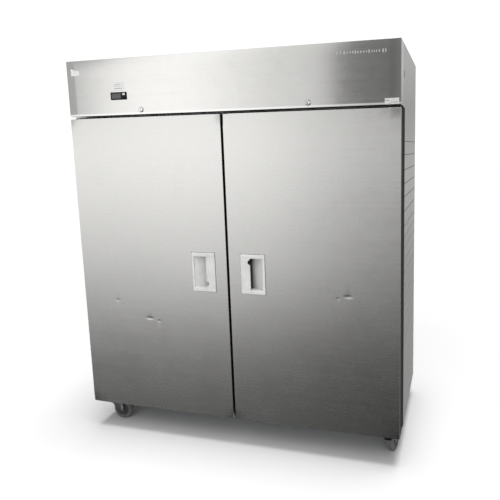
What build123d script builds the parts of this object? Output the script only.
"""A two-door stainless reach-in refrigerator: insulated cabinet, flip-up machine header, castors."""

from build123d import *
from math import cos, radians, sin
import os

os.makedirs("parts", exist_ok=True)

# ---------------------------------------------------------------- overall size, millimetres
width = 1500
depth = 700
height = 1750
sheet = 2

# The doors and the header share one front plane, and the handle plates stand proud of it.
plate_proud = 4
front = -depth / 2 + plate_proud
front_depth = 100
carcass_front = front + front_depth
rear = depth / 2
back_face = rear - 12

# Heights
side_bottom = 104
base_top = 128
door_bottom = 130
door_top = 1495
header_bottom = 1506
deck_bottom = 1502
deck_top = deck_bottom + sheet

# Insulated walls
wall = 60
liner_sheet = 1.5
frame_depth = 45
mullion_half = 33
outer_x = width / 2
inside_x = outer_x - sheet
inner_x = outer_x - wall
inner_back = back_face - wall
inner_bottom = base_top + wall
inner_top = deck_bottom - wall - 5
foam_front = carcass_front + frame_depth
board_gap = 0.2

# Doors
door_gap = 12
door_depth = 86
skin_sheet = 1.5
skin_return = 10
edge_ring = 12
gasket_width = 18
gasket_clearance = 0.3
hinge_inset = 21
hinge_setback = 38
hinge_x = outer_x - hinge_inset
hinge_y = front + hinge_setback
pin_radius = 6
bush_radius = 8
bush_length = 26
bush_collar = 3
running = 0.05
pin_engagement = 20

# Handles
plate_width = 112
plate_height = 176
handle_x = 117
handle_z = 810
cup_depth = 38
cup_half_width = 50
cup_half_height = 77
pocket_half_width = 46
pocket_half_height = 71
pocket_wall = 3
lip_edge = -13
notch_radius = 11
notch_rise = 52

# Header, its piano hinge and its locks
header_back = carcass_front - 1
header_axis_y = carcass_front + 2
knuckle_radius = 3
knuckle_length = 40
hinge_rod_radius = 1.5
header_hinge_places = (-600, 0, 600)
header_axis_z = height - knuckle_radius
header_lip = 14
lock_x = 380
lock_z = 1527
lock_radius = 9.5
collar_radius = 12.5
collar_proud = 3.5
plug_radius = 7.5
plug_proud = 3
tongue_reach = 43
tongue_swing = 36
tongue_width = 12
tongue_y = front + 26
tongue_thick = 3

# Controller in the header
panel_x = -488
panel_z = 1589
bezel_width = 80
bezel_height = 33
bezel_proud = 3
cutout_width = 71
cutout_height = 29
controller_depth = 60
window_x = (panel_x - 34, panel_x + 12)
window_z = (panel_z - 11, panel_z + 11)
key_x = panel_x + 27
key_rows = {"key_power": 7, "key_set": -7}
key_width = 12
key_height = 9
key_clearance = 0.3

# Castors
wheel_radius = 50
wheel_width = 32
trail = 38
axle_radius = 5
kingpin_radius = 8
fork_leg = 3
bracket_bottom = 121
bracket_reach = 108
lower_pin_top = door_bottom + 22
castor_plate_bottom = 116
crown_top = 107
crown_bottom = 103
kingpin_bottom = 97.5
swivel_gap = 0.3
pedal_pivot = (-24, 90)
pedal_pin_radius = 2.5
pedal_tip = -49.5
pedal_half_width = 15
castors = {
    "fl": (-700, carcass_front, 0),
    "fr": (700, carcass_front, 80),
    "rl": (-700, 270, 285),
    "rr": (700, 270, 250),
}
braked = ("fl", "fr")

# Shelves, with the same layout mirrored into both bays
shelf_levels = (480, 790, 1100)
shelf_x = (50, 666)
shelf_y = (-176, 234)
post_x = (38, 680)
post_y = (-188, 247)
post_top = 1285
post_size = (16, 14)
ladder_pitch = 50
runner_height = 4.5
cross_rod = 6
top_wire = 4

TURN = {"X": (0, 90, 0), "Y": (90, 0, 0), "Z": (0, 0, 0)}


def block(x, y, z, mode=Mode.ADD):
    """A box between two limits along each axis."""
    with Locations(tuple((low + high) / 2 for low, high in (x, y, z))):
        Box(abs(x[1] - x[0]), abs(y[1] - y[0]), abs(z[1] - z[0]), mode=mode)


def rod(radius, centre, length, axis="Z", mode=Mode.ADD):
    """A round bar centred on a point, or a round hole with Mode.SUBTRACT."""
    with Locations(Location(centre, TURN[axis])):
        Cylinder(radius, length, mode=mode)


def save(builder, name):
    """Label a finished piece and write it to its own file."""
    builder.part.label = name
    export_step(builder.part, f"parts/{name}.step")


# ---------------------------------------------------------------- cabinet: outer sheets
rear_flange = 14
header_clearance = 3


def side_panel(side, name):
    """A full-height side sheet, cut back beside the doors for the plastic front frame."""
    across = (side * inside_x, side * outer_x)
    flange = (side * (outer_x - rear_flange), side * outer_x)
    with BuildPart() as panel:
        block(across, (carcass_front + header_clearance, rear), (side_bottom, height))
        block(across, (carcass_front, foam_front), (side_bottom, deck_bottom), Mode.SUBTRACT)
        block(flange, (rear - sheet, rear), (side_bottom, height))
    save(panel, name)


side_panel(-1, "side_panel_left")
side_panel(1, "side_panel_right")

gland_x = 600
gland_z = 1600
gland_radius = 11
louvre_x = -340
louvre_length = 560
louvre_height = 10
louvre_rows = range(1550, 1720, 28)
with BuildPart() as back_panel:
    block((-inside_x, inside_x), (back_face - sheet, back_face), (side_bottom, height - sheet))
    with Locations(*[(louvre_x, back_face - sheet / 2, louvre_z) for louvre_z in louvre_rows]):
        Box(louvre_length, sheet, louvre_height, mode=Mode.SUBTRACT)
    rod(gland_radius, (gland_x, back_face - sheet / 2, gland_z), 2 * sheet, "Y", Mode.SUBTRACT)
save(back_panel, "back_panel")

cover_front = header_axis_y + knuckle_radius + 1.5
with BuildPart() as top_cover:
    block((-inside_x, inside_x), (cover_front, back_face), (height - sheet, height))
save(top_cover, "top_cover")

with BuildPart() as machine_deck:
    deck_y = (carcass_front + header_clearance, back_face - sheet)
    block((-inside_x, inside_x), deck_y, (deck_bottom, deck_top))
save(machine_deck, "machine_deck")

bracket_half = 60
with BuildPart() as base_panel:
    block((-inside_x, inside_x), (foam_front, back_face - sheet), (base_top - sheet, base_top))
    for side in (-1, 1):
        hem = (side * (inside_x - sheet), side * inside_x)
        block(hem, (foam_front, castors["rl"][1] + bracket_half), (side_bottom + sheet, base_top))
save(base_panel, "base_panel")

# ---------------------------------------------------------------- cabinet: insulated box
foam_x = inner_x + liner_sheet
foam_back = inner_back + liner_sheet
foam_floor = inner_bottom - liner_sheet
foam_ceiling = inner_top + liner_sheet
with BuildPart() as foam_walls:
    for side in (-1, 1):
        block((side * foam_x, side * inside_x), (foam_front, back_face - sheet), (base_top, deck_bottom))
    across = (-foam_x + board_gap, foam_x - board_gap)
    block(across, (foam_back, back_face - sheet), (base_top, deck_bottom))
    block(across, (foam_front, foam_back - board_gap), (base_top, foam_floor))
    block(across, (foam_front, foam_back - board_gap), (foam_ceiling, deck_bottom))
save(foam_walls, "foam_walls")

liner_corner = 12
with BuildPart() as inner_liner:
    block((-foam_x, foam_x), (foam_front, foam_back), (foam_floor, foam_ceiling))
    block((-inner_x, inner_x), (foam_front, inner_back), (inner_bottom, inner_top), Mode.SUBTRACT)
    uprights = inner_liner.edges().filter_by(Axis.Z)
    fillet(uprights.filter_by_position(Axis.Y, inner_back - 1, inner_back + 1), liner_corner)
save(inner_liner, "inner_liner")

top_plate_z = (deck_bottom - 4, deck_bottom)
top_plate_x = (outer_x - 60, outer_x - 6)
top_plate_y = (hinge_y - 12, carcass_front + 30)
bars_z = (base_top, deck_bottom)
with BuildPart() as front_frame:
    band_y = (carcass_front, foam_front)
    block((-outer_x, outer_x), band_y, bars_z)
    for side in (-1, 1):
        opening = (side * mullion_half, side * inner_x)
        block(opening, band_y, (inner_bottom, inner_top), Mode.SUBTRACT)
        rebate = (side * top_plate_x[0], side * top_plate_x[1])
        block(rebate, (carcass_front, top_plate_y[1]), top_plate_z, Mode.SUBTRACT)
save(front_frame, "front_frame")

# ---------------------------------------------------------------- hinge plates and castor mounts
with BuildPart() as corner_brackets:
    for side in (-1, 1):
        plate_x = (side * (outer_x - bracket_reach), side * (inside_x - sheet))
        bracket_z = (bracket_bottom, base_top - sheet)
        block(plate_x, (hinge_y - pin_radius - 8, foam_front + 10), bracket_z)
        pin_middle = (side * hinge_x, hinge_y, (bracket_bottom + lower_pin_top) / 2)
        rod(pin_radius, pin_middle, lower_pin_top - bracket_bottom)
        rear_y = castors["rl"][1]
        block(plate_x, (rear_y - bracket_half, rear_y + bracket_half), bracket_z)
save(corner_brackets, "corner_brackets")

top_pin_end = door_top - pin_engagement
with BuildPart() as top_hinges:
    for side in (-1, 1):
        block((side * top_plate_x[0], side * top_plate_x[1]), top_plate_y, top_plate_z)
        pin_middle = (top_pin_end + top_plate_z[0]) / 2
        rod(pin_radius, (side * hinge_x, hinge_y, pin_middle), top_plate_z[0] - top_pin_end)
save(top_hinges, "top_hinges")

race_radius = 26
kingpin_nut_radius = 12


def upright(radius, x, y, low, high):
    """A vertical round bar between two heights."""
    rod(radius, (x, y, (low + high) / 2), high - low)


with BuildPart() as castor_plates:
    for x, y, _ in castors.values():
        block((x - 45, x + 45), (y - 40, y + 40), (castor_plate_bottom, bracket_bottom))
        upright(race_radius, x, y, crown_top + swivel_gap, castor_plate_bottom)
        upright(kingpin_radius, x, y, kingpin_bottom, crown_top + 1)
        upright(kingpin_nut_radius, x, y, kingpin_bottom, crown_bottom - swivel_gap)
save(castor_plates, "castor_plates")

# ---------------------------------------------------------------- machine compartment
compressor_x = -60
compressor_y = 60
dome_radius = 82
dome_height = 128
dome_z = 1596
feet_top = 1522
with BuildPart() as compressor:
    rod(dome_radius, (compressor_x, compressor_y, dome_z), dome_height)
    fillet(compressor.edges().filter_by(GeomType.CIRCLE), 26)
    tray_x = (compressor_x - 95, compressor_x + 95)
    tray_y = (compressor_y - 70, compressor_y + 70)
    block(tray_x, tray_y, (feet_top, dome_z - dome_height / 2 + 0.5))
    with Locations((compressor_x + dome_radius + 4, compressor_y, dome_z)):
        Box(30, 60, 60)
    with Locations((compressor_x, compressor_y, (deck_top + feet_top) / 2)):
        with GridLocations(160, 110, 2, 2):
            Cylinder(12, feet_top - deck_top)
save(compressor, "compressor")

coil_x = (-620, -280)
coil_y = (-225, -185)
coil_z = (1512, 1732)
fin_gap = 3
fin_gap_depth = 6
fin_pitch = 12
fan_x = -450
fan_z = 1622
with BuildPart() as condenser_coil:
    block(coil_x, coil_y, coil_z)
    gap_places = range(coil_x[0] + fin_pitch, coil_x[1] - fin_pitch // 2, fin_pitch)
    with Locations(*[(gap_x, coil_y[0] + fin_gap_depth / 2, fan_z) for gap_x in gap_places]):
        Box(fin_gap, fin_gap_depth, coil_z[1] - coil_z[0] - 2 * fin_pitch, mode=Mode.SUBTRACT)
    block(coil_x, (coil_y[0] + 4, coil_y[1] - 4), (deck_top, coil_z[0]))
save(condenser_coil, "condenser_coil")

shroud_y = coil_y[1]
motor_y = (-126, -74)
motor_radius = 30
shaft_radius = 4
blade_tip = 94
ring_radius = 98
ring_wall = 4
ring_length = 28
with BuildPart() as fan_shroud:
    block(coil_x, (shroud_y, shroud_y + 3), coil_z)
    rod(ring_radius + ring_wall, (fan_x, shroud_y + ring_length / 2, fan_z), ring_length, "Y")
    rod(ring_radius, (fan_x, shroud_y + ring_length / 2, fan_z), ring_length + 12, "Y", Mode.SUBTRACT)
    rod(motor_radius, (fan_x, sum(motor_y) / 2, fan_z), motor_y[1] - motor_y[0], "Y")
    arm_z = (fan_z - 6, fan_z + 6)
    for side in (-1, 1):
        arm_x = fan_x + side * (ring_radius + ring_wall)
        block((arm_x - 5, arm_x + 5), (shroud_y + 20, motor_y[1] - 10), arm_z)
        block((fan_x + side * (motor_radius - 2), arm_x), (motor_y[1] - 16, motor_y[1] - 10), arm_z)
    rod(shaft_radius, (fan_x, (shroud_y + 8 + motor_y[0]) / 2, fan_z), motor_y[0] - shroud_y - 8, "Y")
save(fan_shroud, "fan_shroud")


hub_length = 20
blade_twist = 32
blade_thick = 2
chord_ratio = 0.42


def fan(name, x, y, z, radius, hub_radius, blades):
    """An axial fan on the Y axis, bored for its shaft, with twisted flat blades."""
    plane = Plane(origin=(x, y, z), x_dir=(1, 0, 0), z_dir=(0, 1, 0))
    root = hub_radius - 3
    blade = radius - root
    with BuildPart(plane) as rotor:
        Cylinder(hub_radius, hub_length)
        with PolarLocations(root + blade / 2, blades):
            Box(blade, radius * chord_ratio, blade_thick, rotation=(blade_twist, 0, 0))
        Cylinder(shaft_radius + running, 3 * hub_length, mode=Mode.SUBTRACT)
    save(rotor, name)


fan("condenser_fan", fan_x, shroud_y + ring_length, fan_z, blade_tip, 24, 5)

box_x = (340, 600)
box_y = (-190, -50)
lid_z = (1620, 1626)
lid_overlap = 6
with BuildPart() as electrical_box:
    block(box_x, box_y, (deck_top, lid_z[0]))
    fillet(electrical_box.edges().filter_by(Axis.Z), 8)
    lid_x = (box_x[0] - lid_overlap, box_x[1] + lid_overlap)
    lid_y = (box_y[0] - lid_overlap, box_y[1] + lid_overlap)
    block(lid_x, lid_y, lid_z)
save(electrical_box, "electrical_box")


def pipe(points, bends, radius):
    """A bent copper pipe along straight runs with rounded corners."""
    with BuildPart() as tube:
        with BuildLine():
            route = FilletPolyline(*points, radius=bends)
        with BuildSketch(Plane(origin=route @ 0, z_dir=route % 0)):
            Circle(radius)
        sweep()
    return tube.part


dome_x = compressor_x - 40
elbow_x = compressor_x + 40
pipe_z = 1545
hot_gas = [(dome_x, 60, 1660), (dome_x, 60, 1715), (-240, 60, 1715)]
hot_gas += [(-240, -200, 1715), (coil_x[1], -200, 1715)]
liquid = [(coil_x[1], -210, pipe_z), (-200, -210, pipe_z), (-200, -60, pipe_z), (230, -60, pipe_z)]
liquid += [(230, 180, pipe_z), (230, 180, deck_top)]
suction = [(230, 230, deck_top), (230, 230, 1580), (elbow_x, 230, 1580), (elbow_x, 136, 1580)]
with BuildPart() as refrigerant_pipes:
    add(pipe(hot_gas, 18, 4))
    add(pipe(liquid, 18, 4))
    add(pipe(suction, 24, 6))
    rod(14, (30, -60, pipe_z), 110, "X")
save(refrigerant_pipes, "refrigerant_pipes")

gland_head_radius = 16
gland_bore_radius = 6
with BuildPart() as cable_gland:
    rod(gland_radius, (gland_x, back_face - 3, gland_z), 14, "Y")
    rod(gland_head_radius, (gland_x, (back_face + rear) / 2, gland_z), rear - back_face, "Y")
    chamfer(cable_gland.edges().group_by(Axis.Y)[-1], 3)
    rod(gland_bore_radius, (gland_x, back_face, gland_z), 40, "Y", Mode.SUBTRACT)
save(cable_gland, "cable_gland")

# ---------------------------------------------------------------- evaporator under the ceiling
cover_x = (-260, 260)
cover_y = (70, 270)
cover_z = (1300, inner_top)
evap_fan_y = 92
evap_fan_z = 1369
evap_blade_tip = 55
evap_motor_half = 22
with BuildPart() as evaporator_cover:
    block(cover_x, cover_y, cover_z)
    inside = (cover_x[0] + sheet, cover_x[1] - sheet)
    block(inside, (cover_y[0] + sheet, cover_y[1]), (cover_z[0] + sheet, cover_z[1]), Mode.SUBTRACT)
    rod(evap_blade_tip + 4, (0, cover_y[0] + 1, evap_fan_z), 6, "Y", Mode.SUBTRACT)
    vent_rows = range(1323, 1420, 16)
    vents = [(side * 162, cover_y[0] + sheet / 2, vent_z) for side in (-1, 1) for vent_z in vent_rows]
    with Locations(*vents):
        Box(125, sheet, 6, mode=Mode.SUBTRACT)
save(evaporator_cover, "evaporator_cover")

with BuildPart() as evaporator_coil:
    block((-240, 240), (165, 235), (1312, 1426))
    with Locations(*[(gap_x, 169, evap_fan_z) for gap_x in range(-226, 228, 14)]):
        Box(4, 8, 98, mode=Mode.SUBTRACT)
    motor_z = (evap_fan_z - evap_motor_half, evap_fan_z + evap_motor_half)
    block((-evap_motor_half, evap_motor_half), (110, 165), motor_z)
    rod(shaft_radius, (0, 100, evap_fan_z), 40, "Y")
save(evaporator_coil, "evaporator_coil")

fan("evaporator_fan", 0, evap_fan_y, evap_fan_z, evap_blade_tip, 18, 5)

tray_half = 250
tray_span_y = (80, 262)
tray_bottom = 1286
tray_wall = 3
drain_x = 150
drain_radius = 7
drain_y = tray_span_y[1] - drain_radius
drain_bottom = 1237
with BuildPart() as condensate_tray:
    block((-tray_half, tray_half), tray_span_y, (tray_bottom, cover_z[0]))
    tray_inner_x = (-tray_half + tray_wall, tray_half - tray_wall)
    tray_inner_y = (tray_span_y[0] + tray_wall, tray_span_y[1] - tray_wall)
    block(tray_inner_x, tray_inner_y, (tray_bottom + tray_wall, cover_z[0]), Mode.SUBTRACT)
    upright(drain_radius, drain_x, drain_y, drain_bottom, tray_bottom + 1)
    spout_x = (drain_x - drain_radius, drain_x + drain_radius)
    block(spout_x, (drain_y - drain_radius, inner_back), (drain_bottom + 3, drain_bottom + 17))
save(condensate_tray, "condensate_tray")

# ---------------------------------------------------------------- shelving
with BuildPart() as shelf_uprights:
    posts = [(side * x, y) for side in (-1, 1) for x in post_x for y in post_y]
    with Locations(*[(x, y, (inner_bottom + post_top) / 2) for x, y in posts]):
        Box(*post_size, post_top - inner_bottom)
    ladder = range(inner_bottom + 59, post_top - 30, ladder_pitch)
    with Locations(*[(x, y, slot_z) for x, y in posts for slot_z in ladder]):
        Box(6, post_size[1], 14, mode=Mode.SUBTRACT)
save(shelf_uprights, "shelf_uprights")

with BuildPart() as shelf_runners:
    for side in (-1, 1):
        for level in shelf_levels:
            runner_top = level - cross_rod - 3.5
            for bar_x in ((46, 57), (661, 672)):
                span_x = (side * bar_x[0], side * bar_x[1])
                span_y = (post_y[0] + post_size[1] / 2, post_y[1] - post_size[1] / 2)
                block(span_x, span_y, (runner_top - runner_height, runner_top))
save(shelf_runners, "shelf_runners")


def shelves(side, name):
    """Three wire shelves: crosswise rods with thinner wires on top of them."""
    middle_x = side * (shelf_x[0] + shelf_x[1]) / 2
    middle_y = (shelf_y[0] + shelf_y[1]) / 2
    with BuildPart() as shelf_set:
        with Locations(*[(middle_x, middle_y, level - 6.5) for level in shelf_levels]):
            with GridLocations(1, 202, 1, 3):
                Box(shelf_x[1] - shelf_x[0], cross_rod, cross_rod)
        with Locations(*[(middle_x, middle_y, level - 1.75) for level in shelf_levels]):
            with GridLocations(28, 1, 22, 1):
                Box(top_wire, shelf_y[1] - shelf_y[0], 3.5)
    save(shelf_set, name)


shelves(-1, "shelves_left")
shelves(1, "shelves_right")


# ---------------------------------------------------------------- doors
slot_margin = 2.5


def lock_slot(side, margin, floor):
    """The pocket in a door's top edge that a lock tongue turns down into."""
    across = (side * lock_x - tongue_width / 2 - margin, side * lock_x + tongue_swing + margin)
    along = (tongue_y - margin, tongue_y + tongue_thick + margin)
    block(across, along, (floor, door_top), Mode.SUBTRACT)


def door(side, tag):
    """A foamed door: steel skin, plastic edge, inner pan, gasket, recessed handle, hinge bushes."""
    near = door_gap / 2
    outer = (side * near, side * outer_x)
    full_z = (door_bottom, door_top)
    rear_y = front + door_depth
    ring_x = (side * (near + edge_ring), side * (outer_x - edge_ring))
    ring_z = (door_bottom + edge_ring, door_top - edge_ring)
    skin_x = (side * (near + skin_sheet), side * (outer_x - skin_sheet))
    skin_z = (door_bottom + skin_sheet, door_top - skin_sheet)
    bush_ends = ((door_bottom, door_bottom + bush_length), (door_top - bush_length, door_top))
    cup_x = (side * handle_x - cup_half_width, side * handle_x + cup_half_width)
    cup_z = (handle_z - cup_half_height, handle_z + cup_half_height)

    with BuildPart() as door_skin:
        block(outer, (front, front + skin_return), full_z)
        block(skin_x, (front + skin_sheet, front + skin_return), skin_z, Mode.SUBTRACT)
        block(cup_x, (front, front + skin_return), cup_z, Mode.SUBTRACT)
    save(door_skin, f"door_skin_{tag}")

    with BuildPart() as door_edge:
        block(outer, (front + skin_return, rear_y), full_z)
        block(ring_x, (front + skin_return, rear_y), ring_z, Mode.SUBTRACT)
        lock_slot(side, slot_margin, door_top - edge_ring)
        for low, high in bush_ends:
            rod(bush_radius, (side * hinge_x, hinge_y, (low + high) / 2), high - low, mode=Mode.SUBTRACT)
    save(door_edge, f"door_edge_{tag}")

    # The foam is cut from board: one above the handle's cup, one below, and three around it.
    with BuildPart() as door_core:
        block(skin_x, (front + skin_sheet, front + skin_return), skin_z)
        block(ring_x, (front + skin_return, rear_y - skin_sheet), ring_z)
        block(cup_x, (front, front + cup_depth), cup_z, Mode.SUBTRACT)
        lock_slot(side, slot_margin, door_top - 20)
        for low, high in bush_ends:
            rod(bush_radius, (side * hinge_x, hinge_y, (low + high) / 2), high - low, mode=Mode.SUBTRACT)
        for seam_z in (cup_z[0] - board_gap, cup_z[1]):
            block(outer, (front, rear_y), (seam_z, seam_z + board_gap), Mode.SUBTRACT)
        for seam_x in (cup_x[0] - board_gap, cup_x[1]):
            block((seam_x, seam_x + board_gap), (front, rear_y), cup_z, Mode.SUBTRACT)
    save(door_core, f"door_core_{tag}")

    with BuildPart() as door_liner:
        block(ring_x, (rear_y - skin_sheet, rear_y), ring_z)
    save(door_liner, f"door_liner_{tag}")

    gasket_x = (side * (near + 6), side * (hinge_x - 2))
    gasket_z = (door_bottom + 8, door_top - 6)
    gasket_inner_x = (side * (near + 6 + gasket_width), side * (hinge_x - 2 - gasket_width))
    gasket_inner_z = (gasket_z[0] + gasket_width, gasket_z[1] - gasket_width)
    gasket_y = (rear_y, carcass_front - gasket_clearance)
    with BuildPart() as door_gasket:
        block(gasket_x, gasket_y, gasket_z)
        block(gasket_inner_x, gasket_y, gasket_inner_z, Mode.SUBTRACT)
    save(door_gasket, f"door_gasket_{tag}")

    with BuildPart() as hinge_bushes:
        for low, high in bush_ends:
            rod(bush_radius, (side * hinge_x, hinge_y, (low + high) / 2), high - low)
        upright(bush_radius + 4, side * hinge_x, hinge_y, door_bottom - bush_collar, door_bottom)
        hole = (side * hinge_x, hinge_y, (door_bottom + door_top) / 2)
        rod(pin_radius + running, hole, door_top, mode=Mode.SUBTRACT)
    save(hinge_bushes, f"hinge_bushes_{tag}")

    # The same handle serves both doors: it is turned half a turn about its own centre on the left.
    plane = Plane(origin=(side * handle_x, front, handle_z), x_dir=(side, 0, 0), z_dir=(0, 0, side))
    with BuildPart(plane) as door_handle:
        block((-plate_width / 2, plate_width / 2), (-plate_proud, 0), (-plate_height / 2, plate_height / 2))
        fillet(door_handle.edges().filter_by(Axis.Y), 4)
        chamfer(door_handle.faces().sort_by(Axis.Y)[0].edges(), 1.5)
        cup_width = (-cup_half_width, cup_half_width)
        block(cup_width, (0, cup_depth), (-cup_half_height, cup_half_height))
        with BuildSketch(plane.offset(-pocket_half_height)):
            with BuildLine():
                Polyline(
                    (lip_edge, -plate_proud),
                    (lip_edge, pocket_wall),
                    (-pocket_half_width, pocket_wall),
                    (-pocket_half_width, cup_depth - pocket_wall),
                    (-6, cup_depth - pocket_wall),
                    (pocket_half_width, 2),
                    (pocket_half_width, -plate_proud),
                    close=True,
                )
            make_face()
        extrude(amount=2 * pocket_half_height, mode=Mode.SUBTRACT)
        notch_length = 2 * (plate_proud + pocket_wall)
        rod(notch_radius, (lip_edge, 0, notch_rise), notch_length, "Y", Mode.SUBTRACT)
    save(door_handle, f"door_handle_{tag}")


door(-1, "left")
door(1, "right")

# ---------------------------------------------------------------- header
header_z = (header_bottom, height)
with BuildPart() as header_panel:
    block((-outer_x, outer_x), (front, header_back), header_z)
    hollow_x = (-outer_x + skin_sheet, outer_x - skin_sheet)
    hollow_z = (header_bottom + skin_sheet, height - skin_sheet)
    block(hollow_x, (front + skin_sheet, header_back), hollow_z, Mode.SUBTRACT)
    lip_z = (header_bottom, header_bottom + header_lip)
    block(hollow_x, (header_back - skin_sheet, header_back), lip_z)
    cutout_x = (panel_x - cutout_width / 2, panel_x + cutout_width / 2)
    cutout_z = (panel_z - cutout_height / 2, panel_z + cutout_height / 2)
    block(cutout_x, (front, front + skin_sheet), cutout_z, Mode.SUBTRACT)
    for side in (-1, 1):
        rod(lock_radius, (side * lock_x, front, lock_z), 4 * skin_sheet, "Y", Mode.SUBTRACT)
        slot_x = (side * lock_x - tongue_width / 2 - 2, side * lock_x + tongue_reach + 2)
        slot_y = (tongue_y - 2, tongue_y + tongue_thick + 2)
        block(slot_x, slot_y, (header_bottom, header_bottom + skin_sheet), Mode.SUBTRACT)
    for x in header_hinge_places:
        leaf_x = (x - knuckle_length / 2, x + knuckle_length / 2)
        block(leaf_x, (header_back, header_axis_y), (height - skin_sheet, height))
        rod(knuckle_radius, (x, header_axis_y, header_axis_z), knuckle_length, "X")
    rod(hinge_rod_radius + running, (0, header_axis_y, header_axis_z), width, "X", Mode.SUBTRACT)
save(header_panel, "header_panel")

fixed_knuckle = 16
with BuildPart() as header_hinges:
    for x in header_hinge_places:
        rod_length = knuckle_length + 2 * (fixed_knuckle + 2)
        rod(hinge_rod_radius, (x, header_axis_y, header_axis_z), rod_length, "X")
        for side in (-1, 1):
            middle = x + side * (knuckle_length / 2 + 2 + fixed_knuckle / 2)
            rod(knuckle_radius, (middle, header_axis_y, header_axis_z), fixed_knuckle, "X")
            leaf_x = (middle - fixed_knuckle / 2, middle + fixed_knuckle / 2)
            block(leaf_x, (header_axis_y, cover_front), (height - sheet, height))
            block(leaf_x, (header_axis_y, cover_front + 16), (height - 2 * sheet, height - sheet))
save(header_hinges, "header_hinges")

with BuildPart() as controller_bezel:
    bezel_x = (panel_x - bezel_width / 2, panel_x + bezel_width / 2)
    bezel_z = (panel_z - bezel_height / 2, panel_z + bezel_height / 2)
    block(bezel_x, (front - bezel_proud, front), bezel_z)
    fillet(controller_bezel.edges().filter_by(Axis.Y), 3)
    block(cutout_x, (front, front + controller_depth), cutout_z)
    block(window_x, (front - bezel_proud, front - 1), window_z, Mode.SUBTRACT)
    with Locations(*[(key_x, front, panel_z + offset) for offset in key_rows.values()]):
        Box(key_width + 2 * key_clearance, 8, key_height + 2 * key_clearance, mode=Mode.SUBTRACT)
save(controller_bezel, "controller_bezel")

with BuildPart() as controller_screen:
    screen_y = (front - bezel_proud + 0.4, front - 1)
    block(window_x, screen_y, window_z)
save(controller_screen, "controller_screen")

for key_name, offset in key_rows.items():
    with BuildPart() as key:
        with Locations((key_x, front + 2, panel_z + offset)):
            Box(key_width, plate_proud + 2, key_height, align=(Align.CENTER, Align.MAX, Align.CENTER))
        chamfer(key.faces().sort_by(Axis.Y)[0].edges(), 0.6)
    save(key, key_name)

# ---------------------------------------------------------------- locks
with BuildPart() as lock_barrels:
    for side in (-1, 1):
        rod(lock_radius, (side * lock_x, front + 12, lock_z), 24, "Y")
        rod(collar_radius, (side * lock_x, front - collar_proud / 2, lock_z), collar_proud, "Y")
        rod(plug_radius + running, (side * lock_x, front, lock_z), 60, "Y", Mode.SUBTRACT)
save(lock_barrels, "lock_barrels")


def lock_plug(side, name):
    """The turning plug of a cam lock, with a keyway and a tongue that rests level."""
    x = side * lock_x
    plug_front = front - plug_proud
    half = tongue_width / 2
    with BuildPart() as plug:
        rod(plug_radius, (x, (plug_front + tongue_y) / 2, lock_z), tongue_y - plug_front, "Y")
        tongue_span_y = (tongue_y, tongue_y + tongue_thick)
        block((x, x + tongue_reach - half), tongue_span_y, (lock_z - half, lock_z + half))
        for end_x in (x, x + tongue_reach - half):
            rod(half, (end_x, tongue_y + tongue_thick / 2, lock_z), tongue_thick, "Y")
        block((x - 1, x + 1), (plug_front, front + 3), (lock_z - 4.5, lock_z + 4.5), Mode.SUBTRACT)
    save(plug, name)


lock_plug(-1, "lock_plug_left")
lock_plug(1, "lock_plug_right")


# ---------------------------------------------------------------- castors
def castor(tag, x, y, heading):
    """A swivel fork and wheel whose axle trails the kingpin by a fixed distance."""
    turned = (cos(radians(heading)), sin(radians(heading)), 0)
    plane = Plane(origin=(x, y, 0), x_dir=turned, z_dir=(0, 0, 1))
    leg_in = wheel_width / 2 + 2
    leg_out = leg_in + fork_leg
    pivot_x, pivot_z = pedal_pivot
    with BuildPart(plane) as fork:
        block((-26, 34), (-leg_out, leg_out), (crown_bottom, crown_top))
        for side in (-1, 1):
            leg_plane = Plane(origin=plane.from_local_coords(Vector(0, side * leg_in, 0)), x_dir=turned,
                              z_dir=plane.y_dir * -1)
            with BuildSketch(leg_plane):
                with BuildLine():
                    Polyline(
                        (-20, crown_top),
                        (-20, 84),
                        (28, 38),
                        (48, 38),
                        (48, 62),
                        (34, crown_top),
                        close=True,
                    )
                make_face()
            extrude(amount=-side * (leg_out - leg_in))
        rod(kingpin_radius + running, (0, 0, crown_top), 30, mode=Mode.SUBTRACT)
        rod(axle_radius, (trail, 0, wheel_radius), 2 * leg_out + 6, "Y")
        if tag in braked:
            for side in (-1, 1):
                block((pivot_x - 6, pivot_x + 6), (side * leg_in, side * leg_out), (pivot_z - 10, crown_top))
            rod(pedal_pin_radius, (pivot_x, 0, pivot_z), 2 * leg_out, "Y")
    save(fork, f"castor_fork_{tag}")

    with BuildPart(plane) as wheel:
        rod(wheel_radius, (trail, 0, wheel_radius), wheel_width, "Y")
        fillet(wheel.edges().filter_by(GeomType.CIRCLE), 6)
        for side in (-1, 1):
            rod(34, (trail, side * wheel_width / 2, wheel_radius), 8, "Y", Mode.SUBTRACT)
        rod(11, (trail, 0, wheel_radius), wheel_width + 2, "Y")
        rod(axle_radius + running, (trail, 0, wheel_radius), wheel_width + 10, "Y", Mode.SUBTRACT)
    save(wheel, f"castor_wheel_{tag}")

    if tag in braked:
        with BuildPart(plane) as pedal:
            rod(pedal_pin_radius + 3, (pivot_x, 0, pivot_z), 2 * pedal_half_width, "Y")
            block((pedal_tip, pivot_x), (-pedal_half_width, pedal_half_width), (pivot_z - 2, pivot_z + 2))
            rod(pedal_pin_radius + running, (pivot_x, 0, pivot_z), 60, "Y", Mode.SUBTRACT)
        save(pedal, f"brake_pedal_{tag}")


for castor_tag, (castor_x, castor_y, castor_heading) in castors.items():
    castor(castor_tag, castor_x, castor_y, castor_heading)
